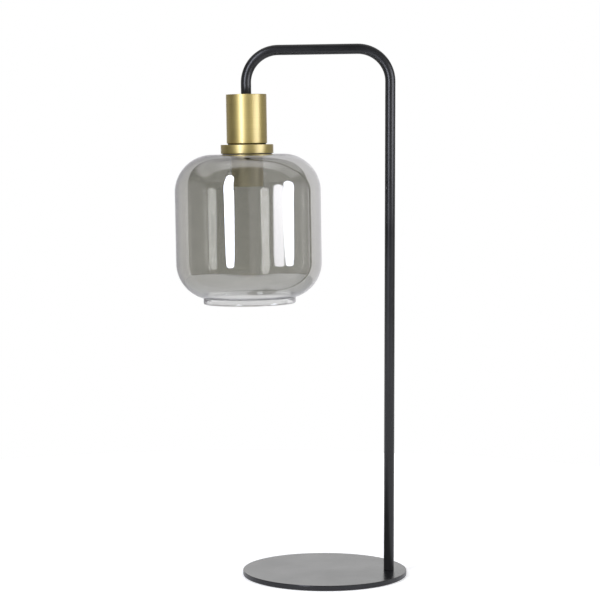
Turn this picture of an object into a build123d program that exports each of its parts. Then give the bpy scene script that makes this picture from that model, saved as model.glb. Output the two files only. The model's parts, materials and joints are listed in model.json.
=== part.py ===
# Table lamp: round base, one bent tube as column and arm, and a glass shade hanging from it.
# Millimetres, +Z up, arm toward -X. The origin is the centre of the underside of the base.
import os
from math import cos, hypot, radians, sin, sqrt

from build123d import *

# Fits, as radial gaps
PRESS_GAP = 0.03  # pressed or brazed
THREAD_GAP = 0.05  # screw threads, drawn as plain cylinders
SLIDE_GAP = 0.05  # contact stem in its guide
SEAT_GAP = 0.1  # parts that centre one another
LOOSE_GAP = 0.3  # parts dropped over one another

# Base
BASE_DIAMETER = 204.0
BASE_THICKNESS = 6.0
BASE_EDGE = 0.8
PAD_THICKNESS = 1.0
PAD_INSET = 3.0
PAD_OPENING_MARGIN = 3.0

# Bent tube: it stands inside the edge of the base, and its bends round off two sharp corners
TUBE_DIAMETER = 12.7
TUBE_WALL = 1.2
COLUMN_INSET = 22.0
ARM_HEIGHT = 653.5
ARM_REACH = 178.0
ARM_DROOP = 0.9
HEAD_DROP = 53.5
BEND_RADIUS = 40.0

# Joint of column and base
PLUG_LENGTH = 18.0
PLUG_TAP_DEPTH = 14.0
SCREW_DIAMETER = 8.0
SCREW_REACH = 11.0
SCREW_HEAD_DIAMETER = 15.0
SCREW_SUNK = 0.2
SCREW_SOCKET = 5.0
SCREW_SOCKET_DEPTH = 2.4

# Flex inside the tube, and the bush where it comes out at the back
FLEX_DIAMETER = 5.0
FLEX_BEND = 6.0
CORE_DIAMETER = 2.0
CORE_BEND = 2.2
CORE_SPACING = 2.2
CORE_START = 2.0
CORE_SLOPE = 3.5
SHEATH_IN_CAP = 1.5
GLAND_HEIGHT = 36.0
GLAND_DIAMETER = 8.0
GLAND_FLANGE = 10.4
GLAND_PROUD = 2.4

# Brass cup and what fixes it to the tube
CUP_DIAMETER = 50.0
CUP_HEIGHT = 60.0
CUP_WALL = 2.0
CUP_TOP = 1.5
CUP_EDGE = 0.5
BUSH_LENGTH = 14.0
BUSH_WALL = 1.1
NIPPLE_IN_BUSH = 12.0
NIPPLE_IN_CAP = 7.0
WASHER_DIAMETER = 17.0
WASHER_THICKNESS = 0.8
NUT_ACROSS_FLATS = 13.0
NUT_THICKNESS = 4.0

# Brass ring under the cup
GROOVE_DEPTH = 1.4
GROOVE_HEIGHT = 1.5
RING_DIAMETER = 65.0
RING_HEIGHT = 11.0
RING_EDGE = 0.5
SPIGOT_HEIGHT = 3.0
SPIGOT_WALL = 2.0

# Glass shade and its clamping
SHADE_DIAMETER = 180.0
SHADE_HEIGHT = 184.0
SHADE_WALL = 2.5
SHADE_HOLE_GAP = 0.5
SHADE_BEARING = 2.3
SHOULDER_RADIUS = 46.0
CORNER_RADIUS = 45.0
COLLAR_DIAMETER = 114.0
COLLAR_WALL = 3.2
COLLAR_HEIGHT = 7.5
COLLAR_BLEND = 1.6
GASKET_THICKNESS = 1.0
GASKET_INSET = 2.0

# Clamping sleeve: its neck screws up into the brass ring, its shoulder carries the glass
SLEEVE_NECK_WALL = 1.2
SLEEVE_NECK_IN_RING = 9.0
SLEEVE_SHOULDER = 4.0
SLEEVE_WALL = 1.25
SLEEVE_LENGTH = 36.0
SLEEVE_LIP = 1.5
SLEEVE_EDGE = 0.4

# Lampholder
CAP_NECK_DIAMETER = 15.0
CAP_NECK_HEIGHT = 8.0
CAP_FLANGE = 2.5
CAP_DEPTH = 15.5
CAP_WALL = 1.6
CAP_OVER_INSERT = 6.0
GRUB_DIAMETER = 3.0
GRUB_SLOT = 0.6
INSERT_THICKNESS = 10.0
INSERT_WALL = 1.3
INSERT_RECESS = 1.0
WELL_GAP = 1.0
WELL_DIAMETER = 16.0

# E27 thread, drawn as rings
SHELL_LENGTH = 18.5
SHELL_CREST_DIAMETER = 24.4
SHELL_ROOT_DIAMETER = 26.6
SHELL_WALL = 0.6
SHELL_PITCH = 3.63
SHELL_CREST_LAND = 1.0

# Contacts and terminals
CONTACT_HEAD_DIAMETER = 11.0
CONTACT_HEAD_THICKNESS = 2.0
CONTACT_RIM = 0.7
CONTACT_FLAT_DIAMETER = 5.5
CONTACT_STEM_DIAMETER = 4.0
CONTACT_TRAVEL = 2.5
CONTACT_STEM_END = 1.0
SPRING_POCKET_DEPTH = 4.5
SPRING_DIAMETER = 8.6
SPRING_WIRE = 0.7
SPRING_TURNS = 4
CLIP_THICKNESS = 0.6
CLIP_DIAMETER = 8.0
CLIP_GROOVE_DEPTH = 0.4
STRAP_THICKNESS = 0.8
STRAP_WIDTH = 5.0
STRAP_OVERHANG = 3.2
TERMINAL_OFFSET = 9.0
TERMINAL_WIDTH = 6.0
TERMINAL_DEPTH = 7.0
TERMINAL_HEIGHT = 5.5
TERMINAL_WIRE_DEPTH = 4.0
TERMINAL_SCREW_DIAMETER = 2.6
TERMINAL_SCREW_HEAD = 4.2
TERMINAL_SCREW_HEAD_THICKNESS = 1.6
TERMINAL_SLOT = 0.6
TERMINAL_SLOT_DEPTH = 0.8


def line(*points):
    """Straight run through (radius, height) points of a profile."""
    return Polyline(*[(r, 0, z) for r, z in points])


def arc(center, start, end):
    """Shorter arc between two points of a profile, given as (radius, height)."""
    cr, cz = center
    size = hypot(start[0] - cr, start[1] - cz)
    mr = (start[0] + end[0]) / 2 - cr
    mz = (start[1] + end[1]) / 2 - cz
    scale = size / hypot(mr, mz)
    middle = (cr + mr * scale, 0, cz + mz * scale)
    return ThreePointArc((start[0], 0, start[1]), middle, (end[0], 0, end[1]))


def turned(*points):
    """Solid of revolution from a closed (radius, height) outline."""
    return revolve(make_face(line(*points, points[0])), axis=Axis.Z)


def rod(radius, low, high, x=0, y=0):
    """Upright cylinder between two heights."""
    return Pos(x, y, low) * extrude(Circle(radius), amount=high - low)


def washer(outer, inner, low, high):
    return rod(outer, low, high) - rod(inner, low, high)


def across(radius, start, end, x=0, z=0):
    """Cylinder along Y between two places."""
    disc = Plane(origin=(x, start, z), x_dir=(1, 0, 0), z_dir=(0, 1, 0)) * Circle(radius)
    return extrude(disc, amount=end - start)


def block(x0, x1, y0, y1, z0, z1):
    middle = Pos((x0 + x1) / 2, (y0 + y1) / 2, (z0 + z1) / 2)
    return middle * Box(x1 - x0, y1 - y0, z1 - z0)


def pipe(radius, path):
    """Round bar along a path."""
    section = Plane(origin=path @ 0, z_dir=path % 0) * Circle(radius)
    return sweep(section, path=path)


# Places on the stand
plate_top = PAD_THICKNESS + BASE_THICKNESS
base_radius = BASE_DIAMETER / 2
column_x = base_radius - COLUMN_INSET
tube_radius = TUBE_DIAMETER / 2
tube_bore = tube_radius - TUBE_WALL
droop = radians(ARM_DROOP)
foot = Vector(column_x, 0, plate_top)
corner_high = Vector(column_x, 0, ARM_HEIGHT)
corner_head = corner_high + Vector(-cos(droop), 0, -sin(droop)) * ARM_REACH
head_down = Vector(sin(droop), 0, -cos(droop))
head_origin = corner_head + head_down * HEAD_DROP
HEAD = Location(head_origin, (0, -ARM_DROOP, 0))

# Heights in the head, below the top of the cup and along its axis
cup_bottom = -CUP_HEIGHT
ring_top = cup_bottom - GROOVE_HEIGHT
ring_bottom = ring_top - RING_HEIGHT
glass_top = ring_bottom - GASKET_THICKNESS
glass_under = glass_top - SHADE_WALL
mouth = glass_top - SHADE_HEIGHT
shoulder_top = glass_under - GASKET_THICKNESS
sleeve_bottom = shoulder_top - SLEEVE_LENGTH
neck_top = ring_bottom + SLEEVE_NECK_IN_RING
flange_under = cup_bottom
flange_top = flange_under + CAP_FLANGE
cap_top = flange_top + CAP_NECK_HEIGHT
insert_top = flange_under - CAP_DEPTH
insert_under = insert_top - INSERT_THICKNESS
insert_bottom = sleeve_bottom + INSERT_RECESS
cap_bottom = insert_top - CAP_OVER_INSERT
contact_low = insert_under - CONTACT_TRAVEL - CONTACT_HEAD_THICKNESS
shell_top = contact_low - WELL_GAP
shell_bottom = shell_top - SHELL_LENGTH
terminal_low = insert_top + STRAP_THICKNESS
terminal_top = terminal_low + TERMINAL_HEIGHT

# Radii in the head, from the thread of the bulb outward
crest = SHELL_CREST_DIAMETER / 2
root = SHELL_ROOT_DIAMETER / 2
shell_out = root + SHELL_WALL
insert_bore = shell_out + PRESS_GAP
holder_radius = insert_bore + INSERT_WALL
sleeve_hole = holder_radius + LOOSE_GAP
thread_radius = sleeve_hole + SLEEVE_NECK_WALL
thread_hole = thread_radius + THREAD_GAP
hole_radius = thread_radius + SHADE_HOLE_GAP
sleeve_radius = hole_radius + SHADE_BEARING
cup_radius = CUP_DIAMETER / 2
cup_bore = cup_radius - CUP_WALL
spigot_radius = cup_bore - SEAT_GAP
spigot_in = spigot_radius - SPIGOT_WALL
ring_radius = RING_DIAMETER / 2

parts = {}

# Base plate, with a countersunk hole for the column screw
screw_radius = SCREW_DIAMETER / 2
screw_head_radius = SCREW_HEAD_DIAMETER / 2
screw_hole = screw_radius + LOOSE_GAP
head_hole = screw_head_radius + LOOSE_GAP
plate = rod(base_radius, PAD_THICKNESS, plate_top)
plate = fillet(plate.edges().filter_by(GeomType.CIRCLE), BASE_EDGE)
hole = turned(
    (0, PAD_THICKNESS),
    (head_hole, PAD_THICKNESS),
    (head_hole, PAD_THICKNESS + SCREW_SUNK),
    (screw_hole, PAD_THICKNESS + SCREW_SUNK + head_hole - screw_hole),
    (screw_hole, plate_top),
    (0, plate_top),
)
parts["base_plate"] = plate - Pos(column_x, 0, 0) * hole

# Pad under the plate, open at the screw
pad_radius = base_radius - PAD_INSET
pad_opening = screw_head_radius + PAD_OPENING_MARGIN
pad = rod(pad_radius, 0, PAD_THICKNESS)
parts["base_pad"] = pad - rod(pad_opening, 0, PAD_THICKNESS, column_x)

# Countersunk screw, entered from below
screw_low = PAD_THICKNESS + SCREW_SUNK
screw = turned(
    (0, screw_low),
    (screw_head_radius, screw_low),
    (screw_radius, screw_low + screw_head_radius - screw_radius),
    (screw_radius, plate_top + SCREW_REACH),
    (0, plate_top + SCREW_REACH),
)
socket = RegularPolygon(SCREW_SOCKET / 2, 6, major_radius=False)
screw -= Pos(0, 0, screw_low) * extrude(socket, amount=SCREW_SOCKET_DEPTH)
parts["column_screw"] = Pos(column_x, 0, 0) * screw

# Tapped plug in the foot of the tube
plug = rod(tube_bore - PRESS_GAP, plate_top, plate_top + PLUG_LENGTH)
plug -= rod(screw_radius + THREAD_GAP, plate_top, plate_top + PLUG_TAP_DEPTH)
parts["foot_plug"] = Pos(column_x, 0, 0) * plug

# Column, arm and drop: one bent tube with a hole at the back for the gland
gland_radius = GLAND_DIAMETER / 2
route = FilletPolyline(foot, corner_high, corner_head, head_origin, radius=BEND_RADIUS)
tube = pipe(tube_radius, route) - pipe(tube_bore, route)
tube -= across(gland_radius + PRESS_GAP, 0, TUBE_DIAMETER, column_x, GLAND_HEIGHT)
parts["column_tube"] = tube

# Gland bush: its flange follows the outside of the tube
gland_face = tube_radius + GLAND_PROUD
flex_hole = FLEX_DIAMETER / 2 + LOOSE_GAP
flange = across(GLAND_FLANGE / 2, 0, gland_face, column_x, GLAND_HEIGHT)
around = 2 * GLAND_FLANGE
flange -= rod(tube_radius + PRESS_GAP, GLAND_HEIGHT - around, GLAND_HEIGHT + around, column_x)
gland = flange + across(gland_radius, tube_bore, gland_face, column_x, GLAND_HEIGHT)
gland -= across(flex_hole, 0, gland_face, column_x, GLAND_HEIGHT)
parts["cord_gland"] = gland

# Flex, from the face of the gland up the tube to the lampholder
sheath_end = flange_under - SHEATH_IN_CAP
flex_route = FilletPolyline(
    (column_x, gland_face, GLAND_HEIGHT),
    (column_x, 0, GLAND_HEIGHT),
    corner_high,
    corner_head,
    head_origin - head_down * sheath_end,
    radius=(FLEX_BEND, BEND_RADIUS, BEND_RADIUS),
)
parts["inner_flex"] = pipe(FLEX_DIAMETER / 2, flex_route)

# Tapped bush in the upper end of the tube
bush_radius = tube_bore - PRESS_GAP
nipple_hole = bush_radius - BUSH_WALL
nipple_radius = nipple_hole - THREAD_GAP
head = {}
head["end_bush"] = washer(bush_radius, nipple_hole, 0, BUSH_LENGTH)

# Hollow threaded nipple
nipple_end = cap_top - NIPPLE_IN_CAP
head["threaded_nipple"] = washer(nipple_radius, flex_hole, nipple_end, NIPPLE_IN_BUSH)

# Cup, open below
head["socket_cup"] = turned(
    (nipple_radius + LOOSE_GAP, 0),
    (cup_radius - CUP_EDGE, 0),
    (cup_radius, -CUP_EDGE),
    (cup_radius, cup_bottom + CUP_EDGE),
    (cup_radius - CUP_EDGE, cup_bottom),
    (cup_bore, cup_bottom),
    (cup_bore, -CUP_TOP),
    (nipple_radius + LOOSE_GAP, -CUP_TOP),
)

# Washer and nut that clamp the cup to the end of the tube
nut_top = -CUP_TOP - WASHER_THICKNESS
nut_bottom = nut_top - NUT_THICKNESS
head["lock_washer"] = washer(WASHER_DIAMETER / 2, nipple_radius + LOOSE_GAP, nut_top, -CUP_TOP)
nut = extrude(RegularPolygon(NUT_ACROSS_FLATS / 2, 6, major_radius=False), amount=NUT_THICKNESS)
head["lock_nut"] = Pos(0, 0, nut_bottom) * nut - rod(nipple_hole, nut_bottom, nut_top)

# Brass ring: its spigot centres the cup, its step makes the groove, its bore takes the sleeve
groove_radius = cup_radius - GROOVE_DEPTH
head["gallery_ring"] = turned(
    (thread_hole, ring_bottom),
    (ring_radius - RING_EDGE, ring_bottom),
    (ring_radius, ring_bottom + RING_EDGE),
    (ring_radius, ring_top - RING_EDGE),
    (ring_radius - RING_EDGE, ring_top),
    (groove_radius, ring_top),
    (groove_radius, cup_bottom),
    (spigot_radius, cup_bottom),
    (spigot_radius, cup_bottom + SPIGOT_HEIGHT),
    (spigot_in, cup_bottom + SPIGOT_HEIGHT),
    (spigot_in, cup_bottom),
    (thread_hole, cup_bottom),
)

# Washers above and below the glass
gasket_hole = thread_radius + LOOSE_GAP
head["upper_gasket"] = washer(ring_radius - GASKET_INSET, gasket_hole, glass_top, ring_bottom)
head["lower_gasket"] = washer(sleeve_radius - SLEEVE_EDGE, gasket_hole, shoulder_top, glass_under)

# Glass shade: outline from the hole over the shoulder to the rounded rim, and back inside
shade_radius = SHADE_DIAMETER / 2
corner_in = CORNER_RADIUS - SHADE_WALL
side_in = shade_radius - SHADE_WALL
collar_out = COLLAR_DIAMETER / 2
collar_in = collar_out - COLLAR_WALL
shoulder_r = shade_radius - SHOULDER_RADIUS
shoulder_z = glass_top - SHOULDER_RADIUS
shoulder = (shoulder_r, shoulder_z)
corner_r = shade_radius - CORNER_RADIUS
corner_z = mouth + COLLAR_HEIGHT + sqrt(CORNER_RADIUS**2 - (collar_out - corner_r) ** 2)
corner = (corner_r, corner_z)
blend_r = collar_out + COLLAR_BLEND
blend_reach = CORNER_RADIUS + COLLAR_BLEND
blend_z = corner_z - sqrt(blend_reach**2 - (blend_r - corner_r) ** 2)
blend_share = CORNER_RADIUS / blend_reach
blend_start = (corner_r + (blend_r - corner_r) * blend_share, corner_z + (blend_z - corner_z) * blend_share)
inside_z = corner_z - sqrt(corner_in**2 - (collar_in - corner_r) ** 2)
rim_r = collar_out - COLLAR_WALL / 2
rim_z = mouth + COLLAR_WALL / 2
outline = [
    line((hole_radius, glass_under), (hole_radius, glass_top), (shoulder_r, glass_top)),
    arc(shoulder, (shoulder_r, glass_top), (shade_radius, shoulder_z)),
    line((shade_radius, shoulder_z), (shade_radius, corner_z)),
    arc(corner, (shade_radius, corner_z), blend_start),
    arc((blend_r, blend_z), blend_start, (collar_out, blend_z)),
    line((collar_out, blend_z), (collar_out, rim_z)),
    arc((rim_r, rim_z), (collar_out, rim_z), (rim_r, mouth)),
    arc((rim_r, rim_z), (rim_r, mouth), (collar_in, rim_z)),
    line((collar_in, rim_z), (collar_in, inside_z)),
    arc(corner, (collar_in, inside_z), (side_in, corner_z)),
    line((side_in, corner_z), (side_in, shoulder_z)),
    arc(shoulder, (side_in, shoulder_z), (shoulder_r, glass_under)),
    line((shoulder_r, glass_under), (hole_radius, glass_under)),
]
head["glass_shade"] = revolve(make_face(outline), axis=Axis.Z)

# Sleeve that clamps the glass: threaded neck, shoulder, and a plain wall down to its lip
sleeve_bore = sleeve_radius - SLEEVE_WALL
head["clamp_sleeve"] = turned(
    (sleeve_hole, neck_top),
    (thread_radius, neck_top),
    (thread_radius, shoulder_top),
    (sleeve_radius - SLEEVE_EDGE, shoulder_top),
    (sleeve_radius, shoulder_top - SLEEVE_EDGE),
    (sleeve_radius, sleeve_bottom + SLEEVE_EDGE),
    (sleeve_radius - SLEEVE_EDGE, sleeve_bottom),
    (sleeve_hole, sleeve_bottom),
    (sleeve_hole, sleeve_bottom + SLEEVE_LIP),
    (sleeve_bore, sleeve_bottom + SLEEVE_LIP),
    (sleeve_bore, shoulder_top - SLEEVE_SHOULDER),
    (sleeve_hole, shoulder_top - SLEEVE_SHOULDER),
)

# Cap of the lampholder: a neck for the nipple, a flange that carries the brass ring, and a wall
# that screws down over the insert
neck_radius = CAP_NECK_DIAMETER / 2
flange_radius = spigot_in - SEAT_GAP
step_radius = holder_radius - CAP_WALL
step_hole = step_radius + THREAD_GAP
cap = turned(
    (nipple_hole, cap_top),
    (neck_radius, cap_top),
    (neck_radius, flange_top),
    (flange_radius, flange_top),
    (flange_radius, flange_under),
    (holder_radius, flange_under),
    (holder_radius, cap_bottom),
    (step_hole, cap_bottom),
    (step_hole, flange_under),
    (flex_hole, flange_under),
    (flex_hole, nipple_end),
    (nipple_hole, nipple_end),
)
grub_radius = GRUB_DIAMETER / 2
grub_z = cap_top - NIPPLE_IN_CAP / 2
half_slot = GRUB_SLOT / 2
slot_y = neck_radius - GRUB_SLOT
head["holder_cap"] = cap - across(grub_radius + THREAD_GAP, 0, CAP_NECK_DIAMETER, 0, grub_z)
grub = across(grub_radius, nipple_hole, neck_radius, 0, grub_z)
grub -= block(-grub_radius, grub_radius, slot_y, neck_radius, grub_z - half_slot, grub_z + half_slot)
head["cap_grub_screw"] = grub

# Ceramic insert: a disc with the spring pocket, a well for the contact and a wall around the shell
stem_radius = CONTACT_STEM_DIAMETER / 2
stem_hole = stem_radius + SLIDE_GAP
spring_radius = SPRING_DIAMETER / 2
pocket = spring_radius + LOOSE_GAP
pocket_top = insert_under + SPRING_POCKET_DEPTH
well = WELL_DIAMETER / 2
leg_in = crest + (SHELL_WALL - STRAP_THICKNESS) / 2
leg_out = leg_in + STRAP_THICKNESS
half_strap = STRAP_WIDTH / 2
slot_half = half_strap + SEAT_GAP
insert = turned(
    (stem_hole, insert_top),
    (step_radius, insert_top),
    (step_radius, cap_bottom),
    (holder_radius, cap_bottom),
    (holder_radius, insert_bottom),
    (insert_bore, insert_bottom),
    (insert_bore, shell_top),
    (well, shell_top),
    (well, insert_under),
    (pocket, insert_under),
    (pocket, pocket_top),
    (stem_hole, pocket_top),
)
insert -= block(-leg_out - SEAT_GAP, -leg_in + SEAT_GAP, -slot_half, slot_half, shell_top, insert_top)
head["holder_insert"] = insert

# Screw shell: thin sheet, with rounded grooves between narrow crests
back = crest + SHELL_WALL
shell_grooves = int((SHELL_LENGTH - SHELL_CREST_LAND) / SHELL_PITCH)
groove_width = SHELL_PITCH - SHELL_CREST_LAND
plain_end = (SHELL_LENGTH - shell_grooves * SHELL_PITCH + SHELL_CREST_LAND) / 2
inner = [(crest, shell_top)]
outer = [(back, shell_top)]
outline = [line(inner[0], outer[0])]
for number in range(shell_grooves):
    high = shell_top - plain_end - number * SHELL_PITCH
    low = high - groove_width
    middle = (high + low) / 2
    for side, wave, peak in ((crest, inner, root), (back, outer, shell_out)):
        outline.append(line(wave[-1], (side, high)))
        outline.append(ThreePointArc((side, 0, high), (peak, 0, middle), (side, 0, low)))
        wave.append((side, low))
outline.append(line(inner[-1], (crest, shell_bottom), (back, shell_bottom), outer[-1]))
head["screw_shell"] = revolve(make_face(outline), axis=Axis.Z)

# Sprung centre contact: a domed head on a stem, held by a clip above the insert
contact_head = CONTACT_HEAD_DIAMETER / 2
contact_flat = CONTACT_FLAT_DIAMETER / 2
head_top = insert_under - CONTACT_TRAVEL
clip_low = insert_top + STRAP_THICKNESS
clip_top = clip_low + CLIP_THICKNESS
clip_groove = stem_radius - CLIP_GROOVE_DEPTH
stem_top = clip_top + CONTACT_STEM_END
head["centre_contact"] = turned(
    (0, stem_top),
    (stem_radius, stem_top),
    (stem_radius, clip_top),
    (clip_groove, clip_top),
    (clip_groove, clip_low),
    (stem_radius, clip_low),
    (stem_radius, head_top),
    (contact_head, head_top),
    (contact_head, head_top - CONTACT_RIM),
    (contact_flat, contact_low),
    (0, contact_low),
)
head["contact_clip"] = washer(CLIP_DIAMETER / 2, clip_groove + SLIDE_GAP, clip_low, clip_top)

# Coil spring between the pocket and the head of the contact
coil_radius = spring_radius - SPRING_WIRE / 2
coil_height = SPRING_POCKET_DEPTH + CONTACT_TRAVEL - SPRING_WIRE
coil = Helix(coil_height / SPRING_TURNS, coil_height, coil_radius)
coil_section = Plane(origin=coil @ 0, z_dir=coil % 0) * Circle(SPRING_WIRE / 2)
spring = sweep(coil_section, path=coil, is_frenet=True)
head["contact_spring"] = Pos(0, 0, head_top + SPRING_WIRE / 2) * spring

# Live strap on top of the insert, from its terminal to the stem
half_width = TERMINAL_WIDTH / 2
strap_end = TERMINAL_OFFSET + half_width
strap = block(-STRAP_OVERHANG, strap_end, -half_strap, half_strap, insert_top, terminal_low)
head["live_strap"] = strap - rod(stem_hole, insert_top, terminal_low)

# Neutral strap: flat under its terminal, then down through the insert onto the edge of the shell
flat_end = TERMINAL_OFFSET - half_width
strap = block(-leg_out, -flat_end, -half_strap, half_strap, insert_top, terminal_low)
leg = block(-leg_out, -leg_in, -half_strap, half_strap, shell_top, terminal_low)
head["neutral_strap"] = strap + leg

# Terminals: a block on each strap, with a screw from the back onto the core
half_depth = TERMINAL_DEPTH / 2
core_radius = CORE_DIAMETER / 2
core_end = terminal_top - TERMINAL_WIRE_DEPTH
clamp_radius = TERMINAL_SCREW_DIAMETER / 2
clamp_z = core_end + clamp_radius
screw_face = half_depth + TERMINAL_SCREW_HEAD_THICKNESS
slot_low = screw_face - TERMINAL_SLOT_DEPTH
half_slot = TERMINAL_SLOT / 2
clamp_head = TERMINAL_SCREW_HEAD / 2
blocks = []
screws = []
for side in (-1, 1):
    x = side * TERMINAL_OFFSET
    body = block(x - half_width, x + half_width, -half_depth, half_depth, terminal_low, terminal_top)
    body -= rod(core_radius + THREAD_GAP, core_end, terminal_top, x)
    body -= across(clamp_radius + THREAD_GAP, core_radius, half_depth, x, clamp_z)
    blocks.append(body)
    clamp = across(clamp_radius, core_radius + THREAD_GAP, half_depth, x, clamp_z)
    clamp += across(clamp_head, half_depth, screw_face, x, clamp_z)
    clamp -= block(
        x - clamp_head,
        x + clamp_head,
        slot_low,
        screw_face,
        clamp_z - half_slot,
        clamp_z + half_slot,
    )
    screws.append(clamp)
head["terminal_blocks"] = Compound(children=blocks)
head["terminal_screws"] = Compound(children=screws)

# Cores, from the end of the sheath to the terminals
for name, side in (("live_core", 1), ("neutral_core", -1)):
    near = side * CORE_SPACING / 2
    far = side * TERMINAL_OFFSET
    core_route = FilletPolyline(
        (near, 0, sheath_end),
        (near, 0, sheath_end - CORE_START),
        (far, 0, sheath_end - CORE_START - CORE_SLOPE),
        (far, 0, core_end),
        radius=CORE_BEND,
    )
    head[name] = pipe(core_radius, core_route)

for name, piece in head.items():
    parts[name] = HEAD * piece

os.makedirs("parts", exist_ok=True)
for name, piece in parts.items():
    export_step(piece, f"parts/{name}.step")
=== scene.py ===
import json
from math import atan2, cos, hypot, pi, radians, sin, sqrt, tan, tau

import bmesh
import bpy
from mathutils import Matrix, Vector


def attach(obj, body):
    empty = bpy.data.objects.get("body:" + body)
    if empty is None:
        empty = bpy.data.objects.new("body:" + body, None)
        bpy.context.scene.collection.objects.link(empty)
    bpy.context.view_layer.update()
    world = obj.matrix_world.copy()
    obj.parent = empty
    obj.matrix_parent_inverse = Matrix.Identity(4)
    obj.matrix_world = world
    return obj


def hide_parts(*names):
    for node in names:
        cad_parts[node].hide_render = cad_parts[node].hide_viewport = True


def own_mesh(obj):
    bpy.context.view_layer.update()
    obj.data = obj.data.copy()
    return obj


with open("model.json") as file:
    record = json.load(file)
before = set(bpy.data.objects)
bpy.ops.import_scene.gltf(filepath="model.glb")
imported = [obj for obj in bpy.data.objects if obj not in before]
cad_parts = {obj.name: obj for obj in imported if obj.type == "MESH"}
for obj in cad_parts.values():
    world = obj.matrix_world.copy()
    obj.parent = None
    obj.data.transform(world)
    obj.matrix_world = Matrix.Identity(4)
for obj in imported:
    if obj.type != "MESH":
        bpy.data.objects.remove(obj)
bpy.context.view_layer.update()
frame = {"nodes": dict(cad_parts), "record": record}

# Sizes of the lamp in millimetres, as in the part's source. Heights in the head count from its origin
MM = 0.001
TUBE_RADIUS = 6.35
TUBE_WALL = 1.2
TUBE_BREAK = 0.25
PLATE_TOP = 7.0
COLUMN_X = 80.0
ARM_HEIGHT = 653.5
ARM_REACH = 178.0
DROOP = radians(0.9)
HEAD_DROP = 53.5
BEND_RADIUS = 40.0

CUP_RADIUS = 25.0
CUP_BOTTOM = -60.0
CUP_WALL = 2.0
CUP_TOP_WALL = 1.5
NIPPLE_HOLE = 4.27
RING_RADIUS = 32.5
RING_TOP = -61.5
RING_BOTTOM = -72.5
RING_BORE = 16.78
GROOVE_RADIUS = 23.6
GROOVE_REACH = CUP_RADIUS + 0.2
SPIGOT_RADIUS = 22.9
SPIGOT_BORE = 20.9
SPIGOT_TOP = CUP_BOTTOM + 3.0

GLASS_TOP = -73.5
GLASS_WALL = 2.5
GLASS_FLAT = (30.0, 38.0)
SHADE_RADIUS = 90.0
SHADE_HOLE = 17.23
HOLE_ROUNDING = 0.6
SHOULDER_RADIUS = 46.0
CORNER_RADIUS = 45.0
COLLAR_RADIUS = 57.0
COLLAR_WALL = 3.2
COLLAR_HEIGHT = 7.5
COLLAR_BLEND = 1.6
MOUTH = GLASS_TOP - 184.0

NECK_TOP = -63.5
NECK_RADIUS = 16.73
NECK_BORE = 15.53
NECK_PITCH = 1.5
NECK_THREAD_DEPTH = 0.42
NECK_THREAD_FADES = (0.8, 1.5)
SLEEVE_TOP = -77.0
SLEEVE_BOTTOM = -113.0
SLEEVE_RADIUS = 19.53
SLEEVE_BORE = 18.28
SLEEVE_ROUNDING = 0.4
SLEEVE_LIP = 1.5
SLEEVE_LIP_BREAK = 0.2
SLEEVE_SHOULDER = 4.0

SHELL_TOP = -91.0
SHELL_BOTTOM = -109.5
SHELL_CREST = 12.2
SHELL_ROOT = 13.3
SHELL_WALL = 0.6
SHELL_PITCH = 3.63
SHELL_FADE = 1.6

# Fineness of the meshes: points round a piece, and steps along a curve or a wall
TUBE_AROUND = 64
BRASS_AROUND = 160
GLASS_AROUND = 192
SLEEVE_AROUND = 128
SHELL_AROUND = 96
BEND_STEPS = 24
ROUNDING_STEPS = 5
HOLE_STEPS = 4
SHOULDER_STEPS = 40
SIDE_ROWS = 8
CORNER_STEPS = 36
BLEND_STEPS = 6
RIM_STEPS = 8
NECK_ROWS = 100
SLEEVE_ROWS = 6
SHELL_ROWS = 90

# Margins for picking points and faces: a length that counts as none, and the rise of a normal that faces up
HAIR = 0.01
FACING_UP = 0.99

corner_high = Vector((COLUMN_X, 0, ARM_HEIGHT))
arm_way = Vector((-cos(DROOP), 0, -sin(DROOP)))
down = Vector((sin(DROOP), 0, -cos(DROOP)))
corner_head = corner_high + arm_way * ARM_REACH
head_origin = corner_head + down * HEAD_DROP
HEAD = Matrix.Translation(head_origin * MM) @ Matrix.Rotation(-DROOP, 4, "Y")


# Meshes

def piece_from(name, bm, body, *nodes, place=None, smooth=60):
    """Object from a bmesh in millimetres, riding on a body and standing for CAD nodes."""
    bmesh.ops.scale(bm, vec=(MM, MM, MM), verts=bm.verts)
    bmesh.ops.recalc_face_normals(bm, faces=bm.faces)
    mesh = bpy.data.meshes.new(name)
    bm.to_mesh(mesh)
    bm.free()
    mesh.shade_smooth()
    mesh.set_sharp_from_angle(angle=radians(smooth))
    piece = bpy.data.objects.new(name, mesh)
    bpy.context.collection.objects.link(piece)
    if place is not None:
        piece.matrix_world = place
    bpy.context.view_layer.update()
    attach(piece, body)
    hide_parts(*nodes)
    return piece


def swept(center, start, end, steps):
    """Points of the shorter arc between two profile points."""
    a = atan2(start[1] - center[1], start[0] - center[0])
    b = atan2(end[1] - center[1], end[0] - center[0])
    turn = (b - a + pi) % tau - pi
    size = hypot(start[0] - center[0], start[1] - center[1])
    return [
        (center[0] + size * cos(a + turn * i / steps), center[1] + size * sin(a + turn * i / steps))
        for i in range(steps + 1)
    ]


def wall(radius, start, end, rows):
    """Points of a straight wall from one height to another, both of them included."""
    return [(radius, start + (end - start) * i / rows) for i in range(rows + 1)]


def eased(corners):
    """Closed outline from (radius, height, rounding) corners."""
    outline = []
    for i, (radius, height, rounding) in enumerate(corners):
        here = Vector((radius, height))
        before = (Vector(corners[i - 1][:2]) - here).normalized()
        after = (Vector(corners[(i + 1) % len(corners)][:2]) - here).normalized()
        half = before.angle(after) / 2
        reach = rounding / tan(half)
        middle = here + (before + after).normalized() * (rounding / sin(half))
        outline += swept(middle, here + before * reach, here + after * reach, ROUNDING_STEPS)
    return outline


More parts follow.
